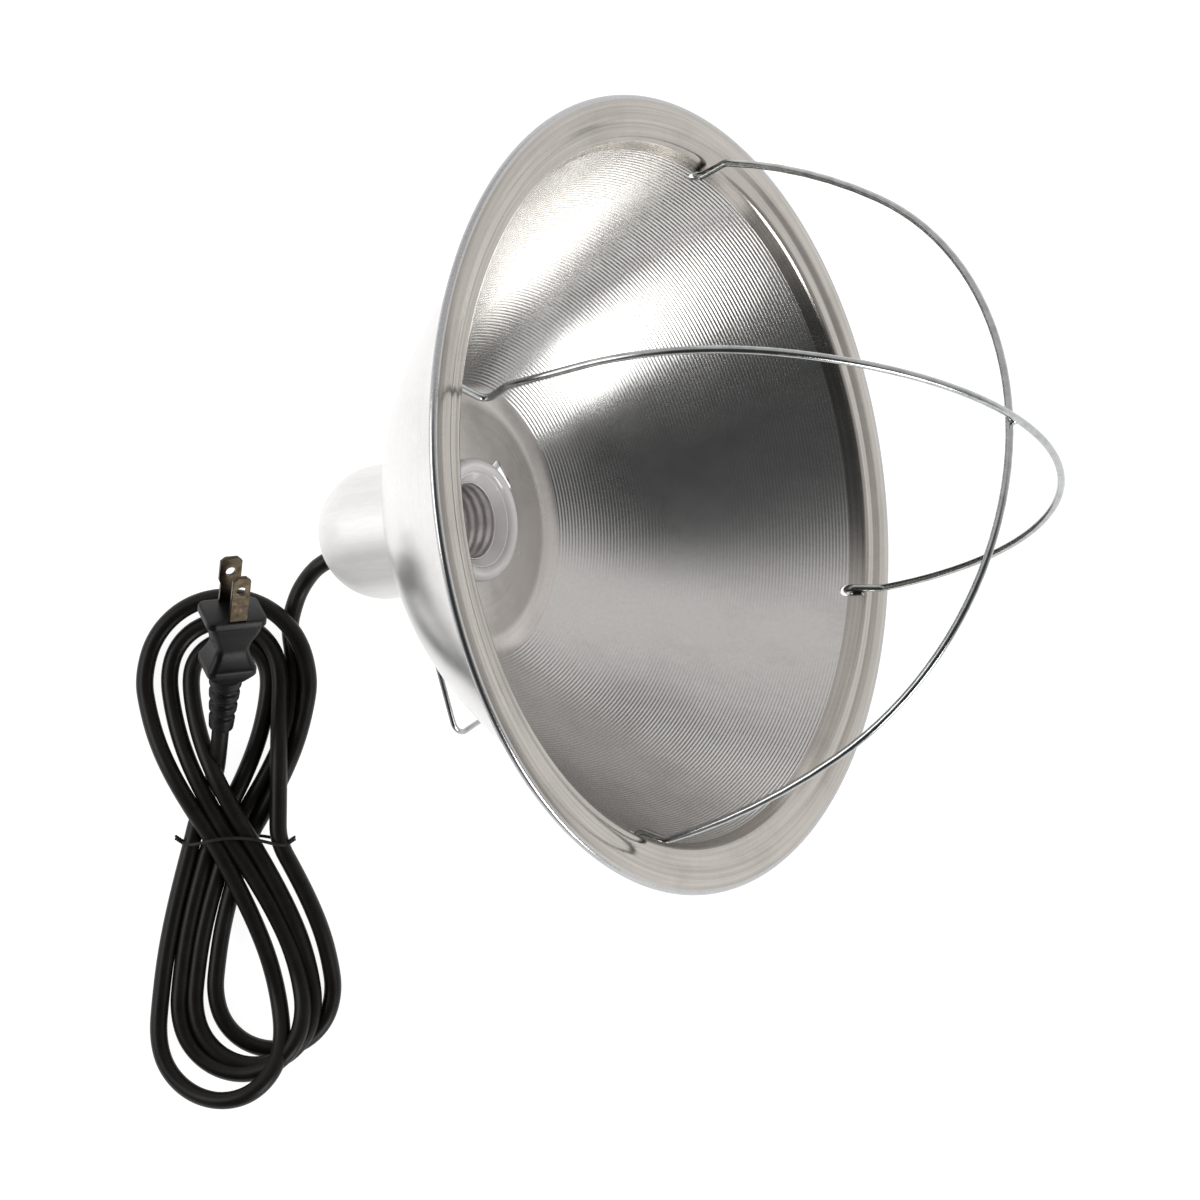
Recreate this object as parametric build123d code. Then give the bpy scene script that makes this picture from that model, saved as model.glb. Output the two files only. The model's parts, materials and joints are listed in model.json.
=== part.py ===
from build123d import *
import math
import os

# Heat lamp fixture: a spun reflector on a porcelain lamp socket, with a crossed wire guard,
# a wire hanging bail and a tied mains cord.
# Millimetres. +Z is up. The lamp lies on its side on the surface z = 0, on its rim and its dome cap.

# ---- driving dimensions ----
axis_tilt = 39.06            # lamp axis above the horizontal, degrees
rim_height = 104.66          # centre of the rim above the surface
rim_x = -0.27                # centre of the rim along X, so that the lamp is centred on the origin

sheet = 0.8                  # aluminium sheet thickness
rim_r = 133.35               # reflector outside radius, hem included
hem_r = 1.3                  # rolled hem section radius
land_z = 0.0                 # lip's outer land, the front face of the reflector
ledge_z = -0.9               # lip's inner ledge
ledge_r = (118.63, 124.0)    # inner ledge from and to
land_r = 125.0               # start of the outer land
lip_corner_r = 3.0           # rounding between wall and ledge
dish_z = -90.0               # flat dish, front face
dish_r = 45.0
neck_hole_r = 17.1
wall_join = (80.6, -60.0)    # where the shallow and the steep wall arcs meet
wall_end = (115.9, -6.5)
shallow_mid = (63.8, -76.5)
steep_mid = (99.8, -34.6)
slot_centre_r = 26.05
slot_size = (12.2, 4.1)
slot_angles = (35.0, -145.0)

wire_r = 1.25                # guard wire
guard_z = -7.3               # plane of the four guard holes
guard_hole_r = 2.0
guard_tail_r = 119.4         # the wire ends stand out of the wall by about 3.5
outer_hoop_angle = 160.6
inner_hoop_angle = 70.6
outer_hoop_lean = 4.6        # degrees, about the line through its two holes
knee_bend_r = 5.0
foot_bend_r = 2.8

bail_wire_r = 1.0
bail_half_width = 30.0
bail_leg = 68.5
bail_corner_r = 5.5
bail_pin_bend_r = 3.0
bail_pin_in = 20.4           # inner end of each pivot pin
bail_axis_angle = 16.5
bail_back_lean = 2.0
pivot_z = -96.5

washer_r = 22.0
washer_t = 1.0
collar_r = 23.15
collar_wall = 1.2
collar_length = 16.0
pin_clearance = 0.05

dome_r = 24.0
dome_centre_z = -128.0
dome_front_z = -100.5
dome_screw_z = -104.5

ring_r = 21.6
ring_front_z = -84.5
nose_r = 16.8
nose_front_z = -86.2
socket_r = 20.0
socket_back_z = -128.0
shell_bore_r = 13.3
shell_wall = 0.35
shell_front_z = -89.5
shell_floor_z = -113.5
shell_floor_t = 0.4
contact_tip_r = 2.0
contact_recess_r = 5.8
contact_recess_z = -121.0

plate_t = 0.8
terminal_x = 11.0

cord_r = 3.15
exit_dir = Vector(-0.854, -0.310, -0.423).normalized()
bushing_in = 20.6            # inner and outer faces of the bushing, from the dome's centre
bushing_out = 24.6
knot_at = 12.0

hank_height = 14.0
upper_lobe = (-161.8, -46.4, 32.5)
waist = (-164.3, -104.2, 18.0)
lower_lobe = (-167.2, -165.2, 34.5)
tie_t = 1.2
tie_width = 3.2

plug_face = Vector(-155.2, -22.2, 47.2)
plug_axis = Vector(0.195, 0.808, 0.553)
plug_width_dir = Vector(0.963, 0.090, -0.254)
plug_length = 28.0
plug_plate = (21.7, 16.0, 3.0)      # width, depth and corner radius
plug_plate_t = 3.0
plug_neck = (18.6, 15.0, 2.6)       # just behind the plate
plug_waist = (12.4, 12.0, 2.6)
plug_waist_z = -14.0
plug_flange = (18.0, 16.0, 2.9)
plug_flange_z = (-23.7, -20.6)
plug_rear = (12.0, 12.0, 5.9)
relief_length = 22.0
blade_gap = 12.7
blade_t = 1.5
blade_out = 18.0

weld_offset = 10.6           # the hoops cross this far from the lamp's axis
weld_z = 123.2
weld_r = 1.9
dome_screw_angles = (90.0, 270.0)
dome_screw_r = 1.4
collar_screw_angle = -145.0
collar_screw_r = 1.1
cutter_span = (15.0, 30.0)          # radii between which holes in the collar and the dome are cut
dome_screw_head = (2.4, 1.3)        # radius and thickness
dome_screw_recess = (0.5, 0.6)      # radius and depth
collar_screw_out = 39.5
collar_screw_head = (2.6, 2.5)
contact_strip = (4.4, 9.0, 0.5)
contact_post = 4.0
plate_size = (7.0, 12.0)
conductor_r = 1.0
conductor_bend = 2.0
terminal_screw_r = 1.6
terminal_head_r = 3.0
terminal_slot = (0.8, 7.0, 1.0)
terminal_screw_in = 6.0
terminal_head = 2.0
rivet_at = (-9.5, -3.0)
rivet_r = 1.0
bushing_r = 4.4
bushing_flange = (6.0, 1.6)         # radius and thickness, inside the dome
knot_r = 4.6
relief_r = 6.0
relief_end_r = 4.35
groove_first = 4.5                  # from the plug's rear to the middle of the first groove
groove_pitch = 5.5
groove_width = 2.0
groove_depth = 0.9
blade_in = 2.8
blade_hole_r = 1.8
blade_hole_in = 5.7
blade_chamfer = 0.5

tilt = math.radians(axis_tilt)
lamp_axis = (math.cos(tilt), 0, math.sin(tilt))
lamp = Plane(origin=(rim_x, 0, rim_height), x_dir=(-math.sin(tilt), 0, math.cos(tilt)), z_dir=lamp_axis)


def world(solid):
    """Move a solid from the lamp's own frame (origin at the rim's centre, Z out of the mouth)."""
    return solid.moved(Location(lamp))


def shifted(point):
    """A point of the cord or plug, given from below the rim's centre."""
    return Vector(point) + Vector(rim_x, 0, 0)


def turned(*outline):
    """Revolve a closed outline of (radius, z) corners about the lamp's axis."""
    face = make_face(Plane.XZ * Polyline(*outline, close=True))
    return revolve(face, Axis.Z)


def disc(radius, z_low, z_high, x=0.0, y=0.0):
    """A cylinder along the lamp's axis."""
    return Pos(x, y, (z_low + z_high) / 2) * Cylinder(radius, z_high - z_low)


def tube(outer, inner, z_low, z_high):
    return disc(outer, z_low, z_high) - disc(inner, z_low - 1, z_high + 1)


def radial(angle, r_from, r_to, radius, z):
    """A rod that points away from the lamp's axis."""
    rod = Rot(0, 90, 0) * Cylinder(radius, r_to - r_from, align=(Align.CENTER, Align.CENTER, Align.MIN))
    return Rot(0, 0, angle) * (Pos(r_from, 0, z) * rod)


def rod_along(path, radius):
    """Sweep a round section along a path."""
    return sweep(Plane(path @ 0, z_dir=path % 0) * Circle(radius), path=path)


# ---- reflector ----
def reflector():
    wall = Line((neck_hole_r, dish_z), (dish_r, dish_z))
    wall += ThreePointArc((dish_r, dish_z), shallow_mid, wall_join)
    wall += ThreePointArc(wall_join, steep_mid, wall_end)
    lip = [wall_end, (ledge_r[0], ledge_z), (ledge_r[1], ledge_z), (land_r, land_z), (rim_r - hem_r, land_z)]
    wall += FilletPolyline(*lip, radius=[lip_corner_r, 0.5, 1.2])
    skin = make_face(offset(Wire(wall.edges()), amount=sheet, side=Side.RIGHT))
    hem = Pos(rim_r - hem_r, land_z - hem_r) * Circle(hem_r)
    bowl = revolve(Plane.XZ * (skin + hem), Axis.Z)
    for angle in slot_angles:
        slot = extrude(SlotOverall(slot_size[0], slot_size[1], rotation=90), amount=4, both=True)
        bowl -= Rot(0, 0, angle) * Pos(slot_centre_r, 0, dish_z) * slot
    for angle in (outer_hoop_angle, inner_hoop_angle):
        for turn in (0, 180):
            bowl -= radial(angle + turn, wall_end[0] - 8, ledge_r[1], guard_hole_r, guard_z)
    return bowl


# ---- guard ----
def leg_path(apex, bends, straight, knee):
    """Edges of one leg of a hoop, from its apex to the end of its tail, in the hoop's own plane.

    bends are (radius, degrees) arcs that follow each other, straight is the run below them, and
    knee is how far the wire turns in before it hooks out through its hole."""
    edges = []
    at = Vector(0, apex)
    heading = 0.0
    for radius, degrees in bends:
        edges.append(JernArc(at, Vector(1, 0).rotate(Axis.Z, heading), radius, -degrees))
        at = edges[-1] @ 1
        heading -= degrees
    if straight > 0:
        edges.append(PolarLine(at, straight, angle=heading))
        at = edges[-1] @ 1
    edges.append(JernArc(at, Vector(1, 0).rotate(Axis.Z, heading), knee_bend_r, -knee))
    at = edges[-1] @ 1
    heading -= knee
    fall = math.radians(heading)
    drop = foot_bend_r * (1 - math.cos(fall))
    edges.append(PolarLine(at, (at.Y - drop) / -math.sin(fall), angle=heading))
    at = edges[-1] @ 1
    edges.append(JernArc(at, Vector(1, 0).rotate(Axis.Z, heading), foot_bend_r, -heading))
    at = edges[-1] @ 1
    edges.append(PolarLine(at, guard_tail_r - at.X, angle=0))
    return edges


def hoop(angle, lean, apex, right, left):
    """A guard hoop in the plane through the lamp's axis at angle, leaned about its hole line."""
    path = Wire(leg_path(apex, *right) + [edge.mirror(Plane.YZ) for edge in leg_path(apex, *left)])
    upright = Plane(origin=(0, 0, guard_z), x_dir=(1, 0, 0), z_dir=(0, -1, 0))
    placed = path.moved(Location(upright)).rotate(Axis((0, 0, guard_z), (1, 0, 0)), -lean)
    return Rot(0, 0, angle) * rod_along(placed, wire_r)


def guard():
    """Two crossed hoops and the weld nugget between them. One leg of the outer hoop is sprung inward."""
    round_leg = ([(120.0, 89.0)], 0, 34.0)
    sprung_leg = ([(120.0, 45.0), (75.0, 46.8)], 27.4, 23.6)
    even_leg = ([(109.0, 60.0), (210.0, 18.0)], 0, 31.6)
    outer = hoop(outer_hoop_angle, outer_hoop_lean, 132.2, round_leg, sprung_leg)
    inner = hoop(inner_hoop_angle, 0, 129.7, even_leg, even_leg)
    nugget = Rot(0, 0, outer_hoop_angle) * Pos(0, weld_offset, weld_z) * Sphere(weld_r)
    return outer, inner, nugget - outer - inner


# ---- bail ----
def bail():
    """A planar wire loop: two pins that point at each other, two legs and a crossbar."""
    half = bail_half_width
    points = [(bail_pin_in, 0), (half, 0), (half, bail_leg), (-half, bail_leg), (-half, 0), (-bail_pin_in, 0)]
    bends = [bail_pin_bend_r, bail_corner_r, bail_corner_r, bail_pin_bend_r]
    across = Vector(1, 0, 0).rotate(Axis.Z, bail_axis_angle)
    out = across.rotate(Axis.Z, 90) * math.cos(math.radians(bail_back_lean))
    out -= Vector(0, 0, math.sin(math.radians(bail_back_lean)))
    loop = Plane(origin=(0, 0, pivot_z), x_dir=across, z_dir=across.cross(out))
    path = FilletPolyline(*points, radius=bends)
    return rod_along(Wire(path.edges()).moved(Location(loop)), bail_wire_r)


# ---- lamp socket and what holds it ----
def washer():
    return tube(washer_r, neck_hole_r, dish_z - sheet - washer_t, dish_z - sheet)


def collar():
    """A steel cup behind the dish: its flange is clamped by the socket, its skirt carries the bail."""
    front = dish_z - sheet - washer_t
    cup = disc(collar_r, front - collar_length, front) - disc(neck_hole_r, front - 30, front + 1)
    cup -= disc(collar_r - collar_wall, front - collar_length - 1, front - collar_wall)
    for turn in (0, 180):
        cup -= radial(bail_axis_angle + turn, *cutter_span, bail_wire_r + pin_clearance, pivot_z)
    for angle in dome_screw_angles:
        cup -= radial(angle, *cutter_span, dome_screw_r, dome_screw_z)
    return cup - radial(collar_screw_angle, *cutter_span, collar_screw_r, pivot_z)


def collar_screw():
    """A long thumb screw through the skirt of the collar that pinches the socket's neck."""
    head_r, head_t = collar_screw_head
    shank = radial(collar_screw_angle, socket_r, collar_screw_out - 1, collar_screw_r, pivot_z)
    head = radial(collar_screw_angle, collar_screw_out - head_t, collar_screw_out, head_r, pivot_z)
    return shank + head


def dome():
    """The drawn cap over the wiring: a skirt that laps the collar and a round end with a cord hole."""
    inner_r = dome_r - sheet
    cap = disc(dome_r, dome_centre_z, dome_front_z) + Pos(0, 0, dome_centre_z) * Sphere(dome_r)
    cap -= disc(inner_r, dome_centre_z, dome_front_z + 1) + Pos(0, 0, dome_centre_z) * Sphere(inner_r)
    for angle in dome_screw_angles:
        cap -= radial(angle, *cutter_span, dome_screw_r, dome_screw_z)
    return cap


def dome_screws():
    screws = []
    head_r, head_t = dome_screw_head
    recess_r, recess_depth = dome_screw_recess
    for angle in dome_screw_angles:
        head = radial(angle, dome_r, dome_r + head_t, head_r, dome_screw_z)
        head -= radial(angle, dome_r + head_t - recess_depth, dome_r + 2 * head_t, recess_r, dome_screw_z)
        shank = radial(angle, collar_r - 2 * collar_wall, dome_r + head_t / 4, dome_screw_r, dome_screw_z)
        screws.append(shank + head)
    return Compound(screws)


def socket_ring():
    """The porcelain ring that is screwed on the socket's nose and holds the dish from the front."""
    crest = (nose_r + ring_r) / 2
    outline = Line((nose_r, dish_z), (nose_r, nose_front_z))
    outline += ThreePointArc((nose_r, nose_front_z), (crest, ring_front_z), (ring_r, ring_front_z - 1.4))
    outline += Line((ring_r, ring_front_z - 1.4), (ring_r, dish_z))
    outline += Line((ring_r, dish_z), (nose_r, dish_z))
    return revolve(Plane.XZ * make_face(outline), Axis.Z)


def socket_body():
    bore = shell_bore_r + shell_wall
    shoulder_z = dish_z - sheet - washer_t - collar_wall
    body = turned(
        (0, contact_recess_z),
        (contact_recess_r, contact_recess_z),
        (contact_recess_r, shell_floor_z),
        (bore, shell_floor_z),
        (bore, shell_front_z - 0.2),
        (nose_r - 0.5, nose_front_z),
        (nose_r, nose_front_z),
        (nose_r, shoulder_z),
        (socket_r, shoulder_z),
        (socket_r, socket_back_z),
        (0, socket_back_z),
    )
    for x in (-terminal_x, terminal_x):
        body -= disc(terminal_screw_r, socket_back_z - 1, socket_back_z + terminal_screw_in, x)
    return body - shell_rivet()


def screw_shell():
    """The plated brass shell that takes the bulb's thread, with a turned-in floor flange for its rivet."""
    outer = shell_bore_r + shell_wall
    shell = tube(outer, shell_bore_r, shell_floor_z, shell_front_z)
    floor = tube(outer, contact_recess_r + 0.7, shell_floor_z, shell_floor_z + shell_floor_t)
    return shell + floor - shell_rivet()


def shell_rivet():
    """Joins the shell's floor to the neutral terminal plate through the porcelain, head sunk flush."""
    top = shell_floor_z + shell_floor_t
    head = Pos(*rivet_at, top - 0.5) * Cone(rivet_r, 2.0, 1.0)
    return disc(rivet_r, socket_back_z - plate_t, top, *rivet_at) + head


def centre_contact():
    """The sprung brass strip under the bulb's tip."""
    strip_z = contact_recess_z + 1.75
    post_z = strip_z + contact_post / 2 - 0.15
    strip = Pos(0, 0, strip_z) * Box(*contact_strip)
    post = Pos(0, 0, post_z) * Cylinder(contact_tip_r, contact_post)
    return strip + post + Pos(0, 0, post_z + contact_post / 2) * Sphere(contact_tip_r)


def terminal_plates():
    plates = []
    for x in (-terminal_x, terminal_x):
        plate = Pos(x, 0, socket_back_z - plate_t / 2) * Box(*plate_size, plate_t)
        plate -= disc(terminal_screw_r, socket_back_z - 2, socket_back_z + 1, x)
        plates.append(plate - shell_rivet())
    return Compound(plates)


def terminal_screws():
    screws = []
    for x in (-terminal_x, terminal_x):
        head_z = socket_back_z - plate_t
        screw = disc(terminal_screw_r, head_z - 0.2, socket_back_z + terminal_screw_in, x)
        screw += disc(terminal_head_r, head_z - terminal_head, head_z, x)
        slot = Pos(x, 0, head_z - terminal_head) * Box(*terminal_slot)
        screws.append(screw - slot)
    return Compound(screws)


# ---- cord entry ----
def exit_plane(distance):
    """A plane square to the cord's exit, at a distance from the dome's centre, where the lamp stands."""
    centre = Vector(rim_x, 0, rim_height) + Vector(*lamp_axis) * dome_centre_z
    return Plane(origin=centre + exit_dir * distance, z_dir=exit_dir)


def along_exit(radius, start, end):
    rod = Cylinder(radius, end - start, align=(Align.CENTER, Align.CENTER, Align.MIN))
    return rod.moved(Location(exit_plane(start)))


def cord_bushing():
    flange_r, flange_t = bushing_flange
    bushing = along_exit(bushing_r, bushing_in, bushing_out)
    bushing += along_exit(flange_r, bushing_in, bushing_in + flange_t)
    return bushing - along_exit(cord_r, bushing_in - 1, bushing_out + 1)


def cord_knot():
    """The end of the cord's jacket and the knot that takes its pull."""
    return along_exit(cord_r, knot_at, bushing_out) + Sphere(knot_r).moved(Location(exit_plane(knot_at)))


def conductors(knot):
    """The two insulated wires from the knot to the terminal screws."""
    wires = []
    top = socket_back_z - plate_t - terminal_head
    for x in (-terminal_x, terminal_x):
        bend_z = top - 2 * conductor_bend
        route = FilletPolyline((x, 0, top), (x, 0, bend_z), (x / 3, 3.5, bend_z - 3.0), radius=conductor_bend)
        wires.append(world(rod_along(route, conductor_r)) - knot)
    return Compound(wires)


# ---- cord ----
def cord_tube(name, points):
    """A tube through points: straight runs joined by the largest arcs that the runs allow."""
    points = [shifted(point) for point in points]
    radii = []
    for before, corner, after in zip(points, points[1:], points[2:]):
        turn = (corner - before).get_angle(after - corner)
        shorter = min((corner - before).length, (after - corner).length)
        radii.append(0.45 * shorter / math.tan(math.radians(turn) / 2))
    path = FilletPolyline(*points, radius=radii)
    solid = rod_along(path, cord_r)
    print(name, "length", round(path.length, 1), "radii", [round(radius, 1) for radius in radii],
          "volume", round(solid.volume), "expected", round(math.pi * cord_r ** 2 * path.length))
    return solid


def circle_edges(lobe):
    x, y, radius = lobe
    return (Pos(x + rim_x, y) * Circle(radius)).edges()


def hank():
    """The outer shape of the cord's figure-eight hank, which lies flat on the surface."""
    upper = make_hull([*circle_edges(upper_lobe), *circle_edges(waist)])
    lower = make_hull([*circle_edges(lower_lobe), *circle_edges(waist)])
    return extrude(upper + lower, amount=hank_height)


def twist_tie():
    """A paper-covered wire band round the hank's waist."""
    x, y, radius = waist
    span = 2 * (radius + 0.3)
    band = Box(span + 2 * tie_t, tie_width, hank_height + tie_t)
    band -= Box(span, 2 * tie_width, hank_height - tie_t)
    return Pos(x + rim_x, y, (hank_height + tie_t) / 2) * band


# ---- plug ----
def on_plug(solid):
    """Move a solid from the plug's own frame: face at z = 0, blades towards +Z, blade width along X."""
    plane = Plane(origin=shifted(plug_face), x_dir=plug_width_dir, z_dir=plug_axis)
    return solid.moved(Location(plane))


def plug_body(blades):
    """Moulded body: a face plate, a block with a pinched waist, a finger flange and a sloped rear."""
    plate = Pos(0, 0, -plug_plate_t) * extrude(RectangleRounded(*plug_plate), amount=plug_plate_t)
    neck = Pos(0, 0, -plug_plate_t) * RectangleRounded(*plug_neck)
    waist_face = Pos(0, 0, plug_waist_z) * RectangleRounded(*plug_waist)
    flange_front = Pos(0, 0, plug_flange_z[1]) * RectangleRounded(*plug_flange)
    flange_back = Pos(0, 0, plug_flange_z[0]) * RectangleRounded(*plug_flange)
    rear = Pos(0, 0, -plug_length) * RectangleRounded(*plug_rear)
    spans = [(neck, waist_face), (waist_face, flange_front), (flange_front, flange_back), (flange_back, rear)]
    body = plate
    for front, back in spans:
        body += loft([front, back])
    return body - blades


def strain_relief():
    """The tapered, grooved sleeve behind the plug."""
    slope = (relief_r - relief_end_r) / relief_length
    sleeve = turned((0, -plug_length), (relief_r, -plug_length),
                    (relief_end_r, -plug_length - relief_length), (0, -plug_length - relief_length))
    for step in range(3):
        back = groove_first + groove_pitch * step
        groove_r = relief_r - slope * back - groove_depth
        groove_z = -plug_length - back
        sleeve -= tube(relief_r + 1, groove_r, groove_z - groove_width / 2, groove_z + groove_width / 2)
    return sleeve


def blade(offset_y, width):
    bar = Box(width, blade_t, blade_out + blade_in, align=(Align.CENTER, Align.CENTER, Align.MIN))
    bar = chamfer(bar.edges().group_by(Axis.Z)[-1], blade_chamfer)
    hole = Rot(90, 0, 0) * Cylinder(blade_hole_r, 3 * blade_t)
    bar -= Pos(0, 0, blade_out + blade_in - blade_hole_in) * hole
    return Pos(0, offset_y, -blade_in) * bar


# ---- assembly ----
outer_hoop, inner_hoop, weld = guard()
line_blade = blade(-blade_gap / 2, 6.5)
neutral_blade = blade(blade_gap / 2, 7.9)
knot = cord_knot()
bushing = cord_bushing()
cord_hole = along_exit(bushing_r + pin_clearance, *cutter_span)
tie = twist_tie()
coil = hank() - tie

dome_end = exit_plane(bushing_out).origin - Vector(rim_x, 0, 0)
plug_end = plug_face - plug_axis.normalized() * (plug_length + relief_length)
lead_route = [
    dome_end,
    dome_end + exit_dir * 4.5,
    (-128.6, -12.6, 7.1),
    (-132.7, -17.7, 4.1),
    (-135.6, -23.9, 3.3),
    (-137.6, -30.2, 3.2),
]
tail_route = [
    plug_end,
    plug_end - plug_axis.normalized() * 5.0,
    (-167.3, -72.4, 12.4),
    (-169.0, -78.6, 8.2),
]

nodes = {
    "reflector": world(reflector()),
    "guard_hoop_outer": world(outer_hoop),
    "guard_hoop_inner": world(inner_hoop),
    "guard_weld": world(weld),
    "bail": world(bail()),
    "fibre_washer": world(washer()),
    "neck_collar": world(collar()),
    "collar_screw": world(collar_screw()),
    "dome_cap": world(dome()) - cord_hole,
    "dome_screws": world(dome_screws()),
    "socket_ring": world(socket_ring()),
    "socket_body": world(socket_body()),
    "screw_shell": world(screw_shell()),
    "shell_rivet": world(shell_rivet()),
    "centre_contact": world(centre_contact()),
    "terminal_plates": world(terminal_plates()),
    "terminal_screws": world(terminal_screws()),
    "cord_bushing": bushing,
    "cord_knot": knot,
    "conductors": conductors(knot),
    "cord_lead": cord_tube("cord_lead", lead_route) - coil,
    "cord_hank": coil,
    "cord_tail": cord_tube("cord_tail", tail_route) - coil,
    "twist_tie": tie,
    "plug_body": on_plug(plug_body(line_blade + neutral_blade)),
    "plug_strain_relief": on_plug(strain_relief()),
    "plug_blade_line": on_plug(line_blade),
    "plug_blade_neutral": on_plug(neutral_blade),
}

os.makedirs("parts", exist_ok=True)
for name, solid in nodes.items():
    export_step(solid, os.path.join("parts", name + ".step"))
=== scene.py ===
import json
import math

import bmesh
import bpy
from mathutils import Matrix, Vector


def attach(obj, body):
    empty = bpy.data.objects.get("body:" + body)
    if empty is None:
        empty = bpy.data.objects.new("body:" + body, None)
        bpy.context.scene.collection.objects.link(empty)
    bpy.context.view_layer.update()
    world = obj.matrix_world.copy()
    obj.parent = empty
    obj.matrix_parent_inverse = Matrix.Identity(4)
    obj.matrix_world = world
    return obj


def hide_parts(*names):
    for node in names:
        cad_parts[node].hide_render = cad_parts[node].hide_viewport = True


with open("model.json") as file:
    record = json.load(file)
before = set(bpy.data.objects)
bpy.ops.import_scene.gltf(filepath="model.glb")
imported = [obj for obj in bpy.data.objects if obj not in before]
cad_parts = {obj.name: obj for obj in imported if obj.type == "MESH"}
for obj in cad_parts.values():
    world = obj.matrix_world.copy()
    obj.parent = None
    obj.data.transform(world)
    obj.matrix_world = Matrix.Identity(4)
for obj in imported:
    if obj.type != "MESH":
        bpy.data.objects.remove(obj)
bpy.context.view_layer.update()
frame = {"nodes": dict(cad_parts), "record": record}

MM = 0.001

# ---- the lamp's own frame: origin at the rim's centre, Z out of the mouth, X up in the rim's plane ----
SOCKET = next(mount for mount in frame["record"]["mounts"] if mount["name"] == "bulb_socket")
AXIS = Vector(SOCKET["axis"])
SOCKET_TO_RIM = 101.3          # from the socket's mount to the rim's plane
RIM_CENTRE = Vector(SOCKET["pos_m"]) + AXIS * SOCKET_TO_RIM * MM
UP_RIM = Vector((-AXIS.z, 0, AXIS.x))
LAMP = Matrix.Translation(RIM_CENTRE) @ Matrix((UP_RIM, AXIS.cross(UP_RIM), AXIS)).transposed().to_4x4()

# millimetres, as (radius, z) where there are two
SHEET = 0.8
DISH_Z = -90.0
NECK_HOLE_R = 17.1
WALL_START = (48.6, -87.65)
WALL_JOIN = (80.6, -60.0)      # where the shallow and the steep part of the wall meet
WALL_END = (115.9, -6.5)
HEM_R = 1.3
RIM_R = 133.35
SLOT_SIZE = (4.1, 12.2, 4.0)
SLOT_R = 26.05
SLOT_ANGLES = (35, -145)
WIRE_R = 1.25
GUARD_Z = -7.3
GUARD_HOLE_R = 2.0
GUARD_HOLE_AT = 116
OUTER_HOOP_ANGLE = 160.6
INNER_HOOP_ANGLE = 70.6
KNEE_R = 5.0
FOOT_R = 2.8
GUARD_TAIL_R = 119.4
BAIL_WIRE_R = 1.0
BAIL_HALF = 30.0
BAIL_LEG = 68.5
BAIL_PIN_IN = 20.4
BAIL_PIN_BEND = 3.0
BAIL_CORNER = 5.5
BAIL_ANGLE = 16.5
BAIL_LEAN = 2.0
PIVOT_Z = -96.5
NOSE = (16.8, -86.2)           # front edge of the socket's nose
RING_R = 21.6
SOCKET_R = 20.0
SOCKET_SHOULDER_Z = -93.0
SOCKET_BACK_Z = -128.0
SOCKET_BORE_R = 13.65
SHELL_FLOOR_Z = -113.5
SHELL_FRONT_Z = -89.5
SHELL_PITCH = 3.63
DOME_R = 24.0
DOME_CENTRE_Z = -128.0
DOME_FRONT_Z = -100.5
DOME_SCREW_Z = -104.5
DOME_SCREW_R = 1.4
CORD_HOLE_R = 4.45
BUSHING_OUT = 24.6             # outer end of the bushing, from the dome's centre
EXIT_DIR = Vector((-0.854, -0.310, -0.423)).normalized()


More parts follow.
